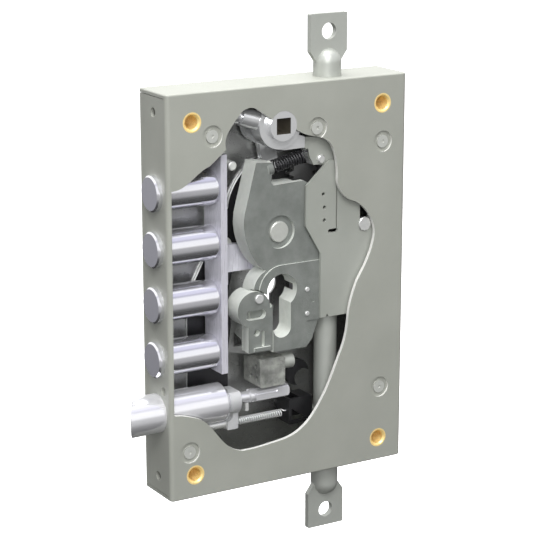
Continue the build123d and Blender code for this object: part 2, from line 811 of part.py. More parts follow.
def slider_guide_pin():
    """The fixed pin on which the front plate runs."""
    plate_back = plate_front_y + plate_thick + side_gap
    neck_front = plate_front_y - side_gap
    pin = rod_along_y(plate_back, back_plate_y, slider_pin_x, slider_pin_z, slider_post_diameter)
    neck = rod_along_y(neck_front, plate_back, slider_pin_x, slider_pin_z, slider_pin_diameter)
    head = rod_along_y(neck_front - slider_head_height, neck_front, slider_pin_x, slider_pin_z,
                       slider_head_diameter)
    return pin + neck + chamfer(head.edges().group_by(Axis.Y)[0], slider_head_height / 2)


def rod_end(tip_z, inner_z):
    """A rod's outer end: a round shank with a ball end, and a flat tab with an eye. The tip is above or below."""
    up = 1 if tip_z > inner_z else -1
    tab_z = tip_z - up * rod_tab_height
    round_z = tab_z - up * rod_tab_taper
    shank = rod_along_z(min(round_z, inner_z), max(round_z, inner_z), rod_x, bolt_axis_y, rod_end_diameter)
    ball = Pos(rod_x, bolt_axis_y, round_z) * Sphere(rod_end_diameter / 2)
    half = rod_tab_width / 2
    neck = rod_end_diameter / 2 - rod_neck_step
    outline = [(rod_x - neck, round_z), (rod_x - half, tab_z), (rod_x - half, tip_z),
               (rod_x + half, tip_z), (rod_x + half, tab_z), (rod_x + neck, round_z)]
    tab = plate(outline, bolt_axis_y - rod_tab_thick / 2, bolt_axis_y + rod_tab_thick / 2)
    corners = tab.edges().filter_by(Axis.Y).group_by(Axis.Z)[-1 if up > 0 else 0]
    tab = fillet(corners, rod_tab_round)
    eye = rod_along_y(-overrun, case_depth + overrun, rod_x, tip_z - up * rod_eye_from_tip,
                      rod_eye_diameter)
    socket = rod_along_z(min(inner_z, inner_z + up * rod_joint_depth),
                         max(inner_z, inner_z + up * rod_joint_depth),
                         rod_x, bolt_axis_y, rod_diameter - 2 * tenon_step + 2 * pin_fit)
    return shank + ball + tab - eye - socket


def inner_rod(block_end, outer_end, block_tenon):
    """A rod between its block and its outer end, with a tenon where it enters the end."""
    up = 1 if outer_end > block_end else -1
    body = rod_along_z(min(block_end, outer_end), max(block_end, outer_end), rod_x, bolt_axis_y,
                       rod_diameter)
    tip = outer_end + up * (rod_joint_depth - side_gap)
    tenon = rod_along_z(min(outer_end, tip), max(outer_end, tip), rod_x, bolt_axis_y,
                        rod_diameter - 2 * tenon_step)
    foot_tip = block_end - up * block_tenon
    foot = rod_along_z(min(block_end, foot_tip), max(block_end, foot_tip), rod_x, bolt_axis_y,
                       rod_diameter - 2 * tenon_step)
    return body + tenon + foot if block_tenon > 0 else body + tenon


def mechanism_body():
    """The cast body: a disc over the gear, a horn for the hub's spring and the cylinder's housing."""
    frame = body_frame
    horn_shares = [(0.167, 0.997), (0.365, 0.989)]
    ledge_shares = [(0.361, 0.885), (0.385, 0.873), (0.770, 0.879), (0.848, 0.860)]
    right_shares = [(0.848, 0.585), (1, 0.515), (1, 0.155), (0.970, 0.148), (0.891, 0.045), (0.809, 0.004)]
    foot_shares = [(0.120, 0.010), (0.120, 0.300)]
    ring_shares = [(0.140, 0.365), (0.195, 0.410), (0.290, 0.440)]
    disc_shares = [(0.200, 0.472), (0.090, 0.546), (0.028, 0.620), (0.010, 0.690), (0.022, 0.745)]
    stretches = [[point] for point in within(horn_shares + ledge_shares, *frame)]
    stretches += [[point] for point in within(right_shares + foot_shares, *frame)]
    stretches += [within(ring_shares, *frame), within(disc_shares, *frame)]
    body = curved_plate(stretches, body_face_y, body_back_y)
    boss = rod_along_y(boss_face_y, body_face_y, cylinder_x, cylinder_z, boss_diameter)
    slab_left = cylinder_x - cylinder_slot / 2 - cylinder_margin
    right = within(right_shares, *frame)
    right_x, low_z = right[2][0], right[3][1]
    boss += box(cylinder_x, right_x, boss_face_y, body_face_y, low_z, cylinder_z + boss_diameter / 2)
    foot_left, foot_z = within(foot_shares, *frame)[0]
    boss += box(foot_left, right[5][0], boss_face_y, body_face_y, foot_z, cylinder_z)
    body += boss + spring_seat_boss()
    face_back = body_face_y + body_face_thick
    gear_room = rod_along_y(face_back, body_back_y + overrun, gear_x, gear_z,
                            2 * (bolt_gear_radius + tooth_addendum + gear_room_wall))
    rack_left = gear_x + rod_gear_radius - tooth_addendum - side_gap
    rack_room = box(rack_left, case_width, face_back, body_back_y + overrun, 0, case_height)
    body -= gear_room + rack_room
    body -= cylinder_opening(-overrun, case_depth + overrun, cylinder_margin)
    pawl_room = rod_along_y(-overrun, pawl_back_y + side_gap, pawl_x, pawl_z,
                            pawl_diameter + 2 * pawl_room_gap)
    pawl_room += box(0, slab_left + seat_gap, -overrun, pawl_back_y + side_gap, 0, pawl_z)
    drum_room = rod_along_y(-overrun, body_back_y + overrun, pawl_x, pawl_z,
                            pawl_diameter + 2 * pawl_room_gap)
    drum_edge = pawl_x - pawl_drum_cut + pawl_room_gap
    body -= pawl_room + (drum_room & box(0, drum_edge, -overrun, case_depth, 0, case_height))
    body -= rod_along_y(-overrun, body_face_y + recess_depth, gear_x, gear_z, recess_diameter)
    body -= rod_along_y(-overrun, case_depth, gear_x, gear_z, axle_diameter + 2 * pin_fit)
    body -= spring_seat_room()
    for x, z in body_pin_places:
        body -= rod_along_y(-overrun, face_back + overrun, x, z, body_pin_diameter)
    body -= rod_along_y(-overrun, pawl_pin_back_y, pawl_pin_x, pawl_pin_z, pawl_pin_diameter)
    slit_z = (body_pin_places[0][1] + body_pin_places[1][1]) / 2
    slit = box(-slit_length / 2, slit_length / 2, -slit_depth, slit_depth, -slit_width / 2, slit_width / 2)
    body -= Pos(body_pin_places[0][0] + slit_length, boss_face_y, slit_z) * Rot(0, slit_angle, 0) * slit
    return body.solids().sort_by(SortBy.VOLUME)[-1]


def body_leg(x, z):
    """A stand-off between the cast body and the back plate."""
    face_back = body_back_y
    if hypot(x - gear_x, z - gear_z) < bolt_gear_radius + tooth_addendum + gear_room_wall:
        face_back = body_face_y + body_face_thick
    leg = rod_along_y(face_back, back_plate_y, x, z, leg_diameter)
    return leg - rod_along_y(back_plate_y - screw_length, back_plate_y + overrun, x, z,
                             screw_diameter + 2 * pin_fit)


def body_screw(x, z):
    """A countersunk screw through the back plate into a leg."""
    head = rod_along_y(back_plate_y, case_depth, x, z, screw_head_diameter)
    shank = rod_along_y(back_plate_y - screw_length, back_plate_y, x, z, screw_diameter)
    cross = box(x - screw_diameter / 2, x + screw_diameter / 2, case_depth - back_sheet / 2,
                case_depth + overrun,
                z - slit_width / 2, z + slit_width / 2)
    return head + shank - cross - Pos(x, 0, z) * Rot(0, 90, 0) * Pos(-x, 0, -z) * cross


def hub_spring_ends():
    """The two seats of the hub's spring, as points on its axis."""
    return Vector(spring_left_x, spring_y, spring_left_z), Vector(spring_right_x, spring_y, spring_right_z)


def spring_seat_boss():
    """The short round boss on the horn behind the spring's left end."""
    left, right = hub_spring_ends()
    tilt = -degrees(atan2(right.Z - left.Z, right.X - left.X))
    diameter = hub_spring_diameter + side_gap
    boss = rod_along_x(-spring_boss_length, 0, 0, 0, diameter)
    return Pos(left.X, left.Y, left.Z) * Rot(0, tilt, 0) * boss


def spring_seat_room():
    """The face on the horn, square to the spring, that its left end bears on."""
    left, right = hub_spring_ends()
    tilt = -degrees(atan2(right.Z - left.Z, right.X - left.X))
    room = box(0, overrun, -overrun, overrun, -overrun, overrun)
    return Pos(left.X, left.Y, left.Z) * Rot(0, tilt, 0) * room


def biarc(start, start_way, end, end_way):
    """Two tangent arcs between two points with given directions."""
    v = end - start
    t = start_way + end_way
    a = 2 * (1 - start_way.dot(end_way))
    if a > straight_limit:
        d = (-v.dot(t) + sqrt(v.dot(t) ** 2 + a * v.dot(v))) / a
    else:
        d = v.dot(v) / (4 * v.dot(end_way))
    joint = (start + start_way * d + end - end_way * d) / 2
    first = TangentArc(start, joint, tangent=start_way)
    return [first, TangentArc(joint, end, tangent=first.tangent_at(1))]


def helix_point(radius, pitch, turn):
    return Vector(radius * cos(2 * pi * turn), radius * sin(2 * pi * turn), pitch * turn)


def helix_way(radius, pitch, turn):
    way = Vector(-radius * sin(2 * pi * turn), radius * cos(2 * pi * turn), pitch / (2 * pi))
    return way.normalized()


def least_gap(curves, radius):
    """The least distance between points on the wire's centre line that are half a turn apart or more."""
    points = []
    travelled = 0
    for curve in curves:
        for step in range(samples_per_arc):
            share = step / samples_per_arc
            points.append((travelled + share * curve.length, curve.position_at(share)))
        travelled += curve.length
    best = travelled
    for index, (along, point) in enumerate(points):
        for further, other in points[index + 1:]:
            if further - along > pi * radius:
                apart = hypot(other.X - point.X, other.Y - point.Y, other.Z - point.Z)
                best = min(best, apart)
            if further - along > 3 * pi * radius:
                break
    return best


def spring(start, end, outer, wire, wanted_pitch):
    """A compression spring between two seats: a helix of whole turns with straight wire ends."""
    axis = end - start
    length = axis.length
    radius = (outer - wire) / 2
    rise = 2 * wire
    turns = round((length - 2 * wire - 2 * rise) / wanted_pitch)
    pitch = (length - 2 * wire - 2 * rise) / turns
    up = Vector(0, 0, 1)
    edges = []
    base = wire + rise
    first = helix_point(radius, pitch, 0) + up * base
    inlet = helix_point(radius, 0, -1 / 8) + up * wire
    edges.append(Line(inlet - up * wire, inlet))
    edges += biarc(inlet, up, first, helix_way(radius, pitch, 0))
    steps = turns * 4
    for index in range(steps):
        a, b = index / 4, (index + 1) / 4
        edges += biarc(helix_point(radius, pitch, a) + up * base, helix_way(radius, pitch, a),
                       helix_point(radius, pitch, b) + up * base, helix_way(radius, pitch, b))
    last = helix_point(radius, pitch, turns) + up * base
    outlet = helix_point(radius, 0, 1 / 8) + up * (length - wire)
    edges += biarc(last, helix_way(radius, pitch, turns), outlet, up)
    edges.append(Line(outlet, outlet + up * wire))
    curves = [edge.edge() if hasattr(edge, "edge") else edge for edge in edges]
    print("spring of wire", wire, "turns", turns, "least gap to itself on points",
          round(least_gap(curves, radius) - wire, 3), "least arc radius",
          round(min(curve.radius for curve in curves if curve.geom_type == GeomType.CIRCLE), 2))
    path = Wire(curves)
    section = Plane(origin=inlet - up * wire, z_dir=up) * Circle(wire / 2)
    tube = sweep(section, path=path)
    turn_to = Plane(origin=start, z_dir=axis.normalized())
    return turn_to * tube


def spring_room():
    """The room round the hub's spring, up to the face that its right end bears on."""
    left, right = hub_spring_ends()
    tilt = -degrees(atan2(right.Z - left.Z, right.X - left.X))
    half = hub_spring_diameter / 2 + side_gap
    room = box(-hub_spring_diameter * 2, 0, -half, half, -half, half)
    return Pos(right.X, right.Y, right.Z) * Rot(0, tilt, 0) * room


def hub_plate():
    """The flat lug on the hub's web."""
    lug_shares = [(0.57, 0.50), (0.59, 0.44), (0.70, 0.0), (0.99, 0.0), (1, 0.25), (0.955, 0.55),
                  (0.84, 0.72), (0.575, 0.77)]
    lug = plate(within(lug_shares, web_x, web_z, web_width, web_height), lug_front_y,
                lug_front_y + lug_thick)
    lug -= spring_room()
    return lug - rod_along_y(lug_front_y - overrun, lug_back_y, hub_pin_x, hub_pin_z, hub_pin_diameter)


def handle_hub():
    """The handle's follower: boss, arm, web that carries the lug, and the finger behind."""
    boss = rod_along_y(0, case_depth, hub_x, hub_z, hub_diameter)
    sleeve = rod_along_y(hub_web_front_y, lug_back_y, hub_x, hub_z, hub_sleeve_diameter)
    web_shares = [(0, 0.94), (0.06, 0.68), (0.145, 0.54), (0.27, 0.49), (0.57, 0.50), (0.59, 0.44),
                  (0.70, 0.0), (0.80, 0.0), (0.80, 0.72), (0.575, 0.77), (0.355, 0.95)]
    web = plate(within(web_shares, web_x, web_z, web_width, web_height), hub_web_front_y + hub_web_step,
                lug_back_y)
    lug_room = box(web_x + web_width * web_step_share, case_width, -overrun, lug_front_y + lug_thick, 0,
                   case_height)
    arm_root = Pos(hub_x, hub_arm_y, hub_z) * Rot(0, -hub_arm_angle, 0)
    cone = Cone(hub_arm_root_radius, hub_arm_end_radius, hub_arm_length)
    arm = arm_root * Pos(hub_arm_length / 2, 0, 0) * Rot(0, 90, 0) * cone
    neck = arm_root * Pos(hub_arm_length + hub_neck_length / 2, 0, 0) * Rot(0, 90, 0) * Cylinder(
        hub_neck_radius, hub_neck_length)
    finger_x = hub_x + finger_radius * sin(radians(hub_turn / 2))
    finger_z = hub_z - finger_radius * cos(radians(hub_turn / 2))
    finger = Pos(hub_x, 0, hub_z) * Rot(0, -hub_turn / 2, 0) * box(
        -finger_arm_width / 2, finger_arm_width / 2, finger_front_y, finger_back_y, -finger_radius, 0)
    finger += rod_along_y(finger_front_y, finger_back_y, finger_x, finger_z, finger_arm_width)
    finger += rod_along_y(finger_front_y, finger_back_y, hub_x, hub_z, hub_sleeve_diameter)
    finger += rod_along_y(finger_back_y, lever_front_y + lever_thick, finger_x, finger_z,
                          finger_pin_diameter)
    hub = boss + sleeve + (web - lug_room) + arm + neck + finger
    hub -= Pos(hub_x, case_depth / 2, hub_z) * Box(hub_square, case_depth + overrun, hub_square)
    hub -= spring_room()
    return hub.solids().sort_by(SortBy.VOLUME)[-1]


def hub_roller():
    """The rounded head on the arm's neck."""
    head = Cylinder(hub_tip_radius, hub_tip_length)
    head = fillet(head.edges().group_by(Axis.Z)[-1], hub_tip_round)
    reach = hub_arm_length + hub_neck_length + hub_tip_length / 2
    arm_root = Pos(hub_x, hub_arm_y, hub_z) * Rot(0, -hub_arm_angle, 0)
    return arm_root * Pos(reach, 0, 0) * Rot(0, 90, 0) * head


def hub_pin():
    head = rod_along_y(lug_front_y - hub_pin_proud, lug_front_y, hub_pin_x, hub_pin_z, hub_pin_head)
    head = chamfer(head.edges().group_by(Axis.Y)[0], hub_pin_proud / 3)
    slit = box(hub_pin_x - slit_width / 2, hub_pin_x + slit_width / 2, -overrun,
               lug_front_y - hub_pin_proud / 2, hub_pin_z - hub_pin_head, hub_pin_z + hub_pin_head)
    return head + rod_along_y(lug_front_y, lug_front_y + lug_thick, hub_pin_x, hub_pin_z,
                              hub_pin_diameter) - slit


def latch_lever():
    """The flat lever between the hub's finger and the latch."""
    frame = lever_x, lever_z, lever_width, lever_height
    push_shares = [(0.976, 0.940), (1.013, 1)]
    top_shares = [(0.80, 0.995)]
    shoulder_shares = [(0.773, 0.965), (0.714, 0.940), (0.625, 0.895), (0.553, 0.817)]
    left_shares = [(0.222, 0.606), (0.012, 0.468), (0, 0.075)]
    fork_shares = [(0.32, 0), (0.535, 0), (0.540, 0.460), (0.610, 0.560), (0.790, 0.725), (0.900, 0.880)]
    stretches = [[point] for point in within(push_shares + top_shares, *frame)]
    stretches += [within(shoulder_shares, *frame)]
    stretches += [[point] for point in within(left_shares + fork_shares, *frame)]
    lever = curved_plate(stretches, lever_front_y, lever_front_y + lever_thick)
    through_y = lever_front_y - overrun, lever_front_y + lever_thick + overrun
    lever -= rod_along_y(*through_y, lever_pivot_x, lever_pivot_z, lever_pivot_diameter + 2 * pin_fit)
    pin_x = collar_x + collar_thick / 2
    lever -= slot_along_z(pin_x, latch_z - latch_pin_diameter / 2, latch_z + latch_pin_diameter / 2,
                          latch_pin_diameter + 2 * slot_fit, *through_y)
    return lever


def lever_pivot():
    """The rivet on the back plate that the lever turns on."""
    front = lever_front_y - seat_gap
    shank = rod_along_y(front, back_plate_y, lever_pivot_x, lever_pivot_z, lever_pivot_diameter)
    head = rod_along_y(front - pin_head_height / 2, front, lever_pivot_x, lever_pivot_z,
                       lever_pivot_diameter * pin_head_share)
    return shank + head


def lever_stop():
    pin = rod_along_y(stop_front_y, back_plate_y, stop_x, stop_z, stop_diameter)
    return fillet(pin.edges().group_by(Axis.Y)[0], stop_diameter / 6)


def latch_bolt():
    """The round latch with its bevelled nose, shoulder cone, stepped tail and flats."""
    body = rod_along_x(latch_nose_x, latch_body_end_x, bolt_axis_y, latch_z, latch_diameter)
    front_y = bolt_axis_y - latch_diameter / 2
    bevel = Pos(latch_nose_x, front_y + latch_nose_land, latch_z) * Rot(0, 0, latch_bevel_angle)
    reach = 2 * latch_diameter
    body -= bevel * box(-reach, reach, 0, reach, -latch_diameter, latch_diameter)
    cone = Pos(latch_body_end_x + latch_cone_length / 2, bolt_axis_y, latch_z) * Rot(0, 90, 0) * Cone(
        latch_diameter / 2, latch_cone_diameter / 2, latch_cone_length)
    tail = rod_along_x(latch_body_end_x + latch_cone_length, latch_head_x, bolt_axis_y, latch_z,
                       latch_tail_diameter)
    head = rod_along_x(latch_head_x, latch_tail_end_x, bolt_axis_y, latch_z, latch_head_diameter)
    head = chamfer(head.edges().group_by(Axis.X)[0] + head.edges().group_by(Axis.X)[-1],
                   (latch_head_diameter - latch_tail_diameter) / 2)
    flat_start = latch_head_x + latch_head_diameter / 2
    head -= box(flat_start, latch_tail_end_x + overrun, 0, bolt_axis_y - latch_head_flat, 0, case_height)
    groove = box(latch_head_x + latch_head_diameter / 3, latch_tail_end_x - latch_head_diameter,
                 bolt_axis_y - latch_head_diameter, bolt_axis_y - latch_head_flat + slit_width,
                 latch_z + tail_groove_rise, latch_z + tail_groove_rise + tail_groove_width)
    return body + cone + tail + head - groove


def latch_collar():
    """The cast collar behind the latch: an arm down to the spring and a lug back to the lever."""
    end = collar_x + collar_thick
    ring = rod_along_x(collar_x, end, bolt_axis_y, latch_z, collar_diameter)
    ring -= box(collar_x - overrun, end + overrun, 0, case_depth, latch_z + collar_top, case_height)
    arm = box(collar_x, end, bolt_axis_y - collar_arm_width / 2, bolt_axis_y + collar_arm_width / 2,
              plunger_z - collar_foot_drop, latch_z)
    lug = box(collar_x, end, bolt_axis_y, lever_front_y - side_gap, latch_z - collar_lug_height / 2,
              latch_z + collar_lug_height / 2)
    pin = rod_along_y(lever_front_y - side_gap, lever_front_y + lever_thick, collar_x + collar_thick / 2,
                      latch_z,
                      latch_pin_diameter)
    bore = rod_along_x(collar_x - overrun, end + overrun, bolt_axis_y, latch_z,
                       latch_tail_diameter + 2 * pin_fit)
    notch = rod_along_y(-overrun, bolt_axis_y, collar_x, latch_z - collar_diameter / 2, collar_thick)
    return ring + arm + lug + pin - bore - notch


def latch_hook():
    """The small pin under the tail."""
    top = latch_z - latch_tail_diameter / 2
    return rod_along_z(top - hook_length, top, hook_x, bolt_axis_y - hook_diameter / 2, hook_diameter)


def latch_plunger():
    start = collar_x - plunger_length
    pin = rod_along_x(start, collar_x, bolt_axis_y, plunger_z, plunger_diameter)
    return chamfer(pin.edges().group_by(Axis.X)[0], plunger_diameter / 6)


def latch_bracket():
    """The folded bracket on the back plate that the latch's spring bears on."""
    left = bracket_x
    right = bracket_x + bracket_width
    back = bracket_front_y + bracket_depth
    wall = box(left, left + bracket_sheet, bracket_front_y, back, bracket_z, bracket_z + bracket_height)
    front = box(left, right, bracket_front_y, bracket_front_y + bracket_sheet, bracket_z,
                bracket_z + bracket_height)
    top_z = bracket_z + bracket_height
    flange = box(left + bracket_width / 2, right, bracket_front_y, back, top_z - bracket_sheet, top_z)
    rear = box(left, right, back - bracket_sheet, back, bracket_z, top_z)
    opening_shares = [(0.12, 0.12), (0.75, 0.12), (0.12, 0.62)]
    opening = plate(within(opening_shares, left, bracket_z, bracket_width, bracket_height),
                    bracket_front_y - overrun, bracket_front_y + bracket_sheet + side_gap)
    feet = [rod_along_y(back, back_plate_y, left + share * bracket_width, bracket_z + bracket_height / 2,
                        bracket_foot_diameter) for share in foot_x_shares]
    return wall + front + flange + rear + feet[0] + feet[1] - opening


def latch_cam():
    """The dark curved guard over the bracket."""
    outer = rod_along_y(cam_front_y, cam_back_y, cam_x, cam_z, cam_diameter)
    inner = rod_along_y(cam_front_y - overrun, cam_back_y + overrun, cam_x + cam_diameter / 4,
                        cam_z - cam_diameter / 4, cam_hollow_diameter)
    leg = rod_along_y(cam_back_y, back_plate_y, cam_x - cam_diameter / 4, cam_z + cam_diameter / 5,
                      bracket_foot_diameter)
    return (outer - inner).solids().sort_by(SortBy.VOLUME)[-1] + leg


def stop_pawl():
    """The cast lever left of the cylinder, with its thick round flank and stepped arm."""
    disc = rod_along_y(pawl_front_y, pawl_back_y, pawl_x, pawl_z, pawl_diameter)
    arm = box(pawl_arm_left_x, pawl_arm_right_x, pawl_front_y, pawl_back_y, pawl_arm_low_z, pawl_z)
    flank = rod_along_y(pawl_back_y, pawl_flank_y, pawl_x, pawl_z, pawl_diameter) & box(
        0, pawl_x - pawl_drum_cut, 0, case_depth, 0, case_height)
    body = disc + arm + flank
    through_y = pawl_front_y - overrun, pawl_back_y + side_gap
    slot_z = pawl_z - pawl_slot_drop
    body -= slot_along_x(pawl_x - pawl_slot_length / 2 + pawl_slot_shift, pawl_x + pawl_slot_length / 2
                         + pawl_slot_shift, slot_z, pawl_slot_width, *through_y)
    body -= rod_along_y(*through_y, pawl_pin_x, pawl_pin_z, pawl_pin_diameter + 2 * pin_fit)
    hole_x = pawl_arm_left_x + (pawl_arm_right_x - pawl_arm_left_x) / 3
    body -= rod_along_y(*through_y, hole_x, pawl_hole_z, pawl_hole_diameter)
    slit_x = pawl_arm_left_x + (pawl_arm_right_x - pawl_arm_left_x) * pawl_slit_share
    body -= slot_along_z(slit_x, pawl_arm_low_z + pawl_hole_diameter, pawl_hole_z, pawl_slit_width,
                         *through_y)
    foot = box(hole_x - pawl_hole_diameter / 2, pawl_arm_right_x - pawl_hole_diameter / 2,
               pawl_front_y - pawl_foot_proud, pawl_front_y, pawl_arm_low_z + pawl_foot_proud / 2,
               pawl_arm_low_z + pawl_foot_proud * 2)
    return body + foot


def pawl_pin():
    front = pawl_front_y - pawl_pin_proud
    head = rod_along_y(front, pawl_front_y - seat_gap, pawl_pin_x, pawl_pin_z, pawl_pin_head)
    head = fillet(head.edges().group_by(Axis.Y)[0], pawl_pin_proud / 2)
    return head + rod_along_y(pawl_front_y - seat_gap, pawl_pin_back_y, pawl_pin_x, pawl_pin_z,
                              pawl_pin_diameter)


def guide_plate():
    """The grey plate behind the pawl, on the back of the cast body."""
    outline_shares = [(0, 0.12), (0.10, 0.62), (0.10, 1), (1, 1), (1, 0), (0.62, 0)]
    frame = guide_x, guide_z, guide_width, guide_height
    face = plate(within(outline_shares, *frame), body_back_y, body_back_y + guide_thick)
    hole_shares = [(0.18, 0.20), (0.18, 0.50), (0.42, 0.30), (0.42, 0.20)]
    face -= plate(within(hole_shares, *frame), body_back_y - overrun, body_back_y + guide_thick + overrun)
    for x, z in leg_places:
        face -= rod_along_y(body_back_y - overrun, body_back_y + guide_thick + overrun, x, z,
                            leg_diameter + 2 * pin_fit)
    return face


def cast_block():
    """The rough block under the body, with three small holes in its left face."""
    block = box(block_x, block_x + block_width, block_front_y, block_back_y, block_z, block_z + block_tall)
    edges = block.edges().filter_by(Axis.Y)
    block = chamfer(edges, block_chamfer)
    block += box(block_x + block_width / 2, block_x + block_width - block_chamfer, block_back_y,
                 back_plate_y,
                 block_z + block_chamfer, block_z + block_tall - block_chamfer)
    hole_place_shares = [(0.25, 0.70), (0.55, 0.30), (0.22, 0.28)]
    for u, v in hole_place_shares:
        block -= rod_along_x(block_x - overrun, block_x + block_hole_depth,
                             block_front_y + u * (block_back_y - block_front_y), block_z + v * block_tall,
                             block_hole_diameter)
    return block


def block_shaft():
    """The stub shaft on the block's right."""
    y = block_front_y + stub_diameter / 2 + block_chamfer
    z = block_z + block_tall - stub_diameter / 2
    start = block_x + block_width
    shaft = rod_along_x(start, start + stub_length, y, z, stub_diameter)
    return chamfer(shaft.edges().group_by(Axis.X)[-1], block_chamfer / 2)


def body_pin(x, z):
    pin = rod_along_y(boss_face_y - body_pin_proud, body_face_y + body_face_thick, x, z, body_pin_diameter)
    return fillet(pin.edges().group_by(Axis.Y)[0], body_pin_proud * 2 / 3)


def main():
    os.makedirs("parts", exist_ok=True)
    save("front_cover", front_cover())
    save("back_plate", back_plate())
    save("fixing_inserts", *[fixing_insert(x, z) for x, z in insert_places()])
    save("cover_rivets", *[cover_rivet(x, z) for x, z in on_case(post_place_shares)])
    for index, z in enumerate(bolt_places()):
        save(f"deadbolt_{index + 1}", deadbolt(z))
    save("bolt_carrier", bolt_carrier())
    save("bolt_rivets", *[bolt_rivet(z) for z in bolt_places()])
    save("bolt_slide", bolt_slide())
    save("slide_guide", slide_guide())
    save("throw_gear", throw_gear())
    save("gear_axle", gear_axle())
    save("reversing_pinion", reversing_pinion())
    save("pinion_pin", pinion_pin())
    save("rod_rack", rod_rack_bar())
    save("lower_block", lower_block())
    save("slider_plate", slider_plate())
    save("slider_guide_pin", slider_guide_pin())
    rod_top = lower_block_z + block_height - block_wall - side_gap
    save("lower_rod", inner_rod(rod_top, lower_rod_joint_z, 0))
    save("lower_rod_end", rod_end(lower_rod_tip_z, lower_rod_joint_z))
    save("upper_block", upper_block())
    save("upper_rod", inner_rod(upper_block_z + block_height, upper_rod_joint_z, block_height - block_wall
                                - side_gap))
    save("upper_rod_end", rod_end(upper_rod_tip_z, upper_rod_joint_z))
    save("mechanism_body", mechanism_body())
    save("body_legs", *[body_leg(x, z) for x, z in leg_places])
    save("body_screws", *[body_screw(x, z) for x, z in leg_places])
    save("body_pins", *[body_pin(x, z) for x, z in body_pin_places])
    save("handle_hub", handle_hub())
    save("hub_roller", hub_roller())
    save("hub_plate", hub_plate())
    save("hub_pin", hub_pin())
    left, right = hub_spring_ends()
    coil = spring(left, right, hub_spring_diameter, hub_spring_wire, hub_spring_pitch)
    save("hub_spring", coil)
    save("latch_lever", latch_lever())
    save("lever_pivot", lever_pivot())
    save("lever_stop", lever_stop())
    save("latch_bolt", latch_bolt())
    save("latch_collar", latch_collar())
    save("latch_hook", latch_hook())
    save("latch_plunger", latch_plunger())
    start = Vector(collar_x + collar_thick, bolt_axis_y, plunger_z)
    end = Vector(bracket_x, bolt_axis_y, plunger_z)
    coil = spring(start, end, latch_spring_diameter, latch_spring_wire, latch_spring_pitch)
    save("latch_spring", coil)
    save("latch_bracket", latch_bracket())
    save("latch_cam", latch_cam())
    save("stop_pawl", stop_pawl())
    save("pawl_pin", pawl_pin())
    save("guide_plate", guide_plate())
    save("cast_block", cast_block())
    save("block_shaft", block_shaft())


main()
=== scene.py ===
"""Looks for the door lock: materials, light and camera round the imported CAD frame."""
import math

import bpy
from mathutils import Matrix, Vector


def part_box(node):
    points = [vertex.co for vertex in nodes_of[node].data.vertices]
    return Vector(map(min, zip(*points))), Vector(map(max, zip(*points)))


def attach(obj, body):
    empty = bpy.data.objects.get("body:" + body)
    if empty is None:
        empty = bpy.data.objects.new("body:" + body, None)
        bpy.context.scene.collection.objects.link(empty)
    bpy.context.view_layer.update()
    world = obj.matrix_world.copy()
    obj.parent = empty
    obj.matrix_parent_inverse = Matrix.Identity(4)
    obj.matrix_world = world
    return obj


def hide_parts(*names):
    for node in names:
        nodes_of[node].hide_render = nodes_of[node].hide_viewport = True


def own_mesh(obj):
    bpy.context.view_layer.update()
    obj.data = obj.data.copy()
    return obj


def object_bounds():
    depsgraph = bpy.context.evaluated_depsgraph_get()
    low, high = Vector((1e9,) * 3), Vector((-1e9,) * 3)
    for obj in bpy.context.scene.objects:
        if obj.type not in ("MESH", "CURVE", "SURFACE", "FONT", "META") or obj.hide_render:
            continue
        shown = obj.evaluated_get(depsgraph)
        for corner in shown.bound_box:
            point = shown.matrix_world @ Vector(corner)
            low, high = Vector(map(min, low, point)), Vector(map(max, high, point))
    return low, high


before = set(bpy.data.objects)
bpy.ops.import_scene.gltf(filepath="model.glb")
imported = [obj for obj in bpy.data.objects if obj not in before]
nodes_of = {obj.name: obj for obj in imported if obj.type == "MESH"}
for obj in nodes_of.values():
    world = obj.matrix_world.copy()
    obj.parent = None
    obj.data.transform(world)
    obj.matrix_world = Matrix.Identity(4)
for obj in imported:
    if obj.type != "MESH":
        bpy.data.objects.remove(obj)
cad_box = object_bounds()

# Lengths are in metres, in the frame's own axes: X to the right, Y to the back, Z up
HUB_AXIS = Vector((-0.00355, 0.0, 0.08275))
# Half the side of the square hole, which is 0.008, and a little more to take in its walls
HUB_HOLE_REACH = 0.0044
# The pale cut edges, bare metal with a painted highlight, begin this far inside the cover's outline
COVER_MARGIN = 0.003
# The lower rod travels 0.0238 down, and the floor lies a little lower than that
FLOOR_DROP = 0.0245
FLOOR_REACH = 6.0

CAMERA_PLACE = (-0.488003, -0.826526, 0.254339)
CAMERA_YAW = math.radians(30.796)
CAMERA_PITCH = math.radians(14.657)
CAMERA_LENS = 128.76

# Noise lies mostly between these values, so they are spread to the wanted range
GRAIN_RANGE = (0.3, 0.7)
PATCH_RANGE = (0.35, 0.65)
# The part of a normal along Y at which a face stops being a cut edge
EDGE_RANGE = (0.45, 0.55)
# How far the roughness of sheet steel strays, and the least and most share of it on polished steel
SHEET_STRAY = 0.05
POLISHED_STRAY = (0.7, 1.3)
POLISHED_DIM = 0.94
CAST_ROUGHNESS = (0.48, 0.66)


def linear(red, green, blue):
    """A colour given as seen on screen, 0 to 255, as the shader wants it."""
    values = []
    for value in (red, green, blue):
        share = value / 255
        values.append(share / 12.92 if share <= 0.04045 else ((share + 0.055) / 1.055) ** 2.4)
    return (*values, 1.0)


def mix_colours(tree, value, first, second):
    """A colour between two, by a value from 0 to 1. Each of the two is a socket or a fixed colour."""
    node = tree.nodes.new("ShaderNodeMix")
    node.data_type = "RGBA"
    sockets = [socket for socket in node.inputs if socket.type == "RGBA"]
    for socket, colour in zip(sockets, (first, second)):
        if hasattr(colour, "links"):
            tree.links.new(colour, socket)
        else:
            socket.default_value = colour
    tree.links.new(value, node.inputs["Factor"])
    return next(socket for socket in node.outputs if socket.type == "RGBA")


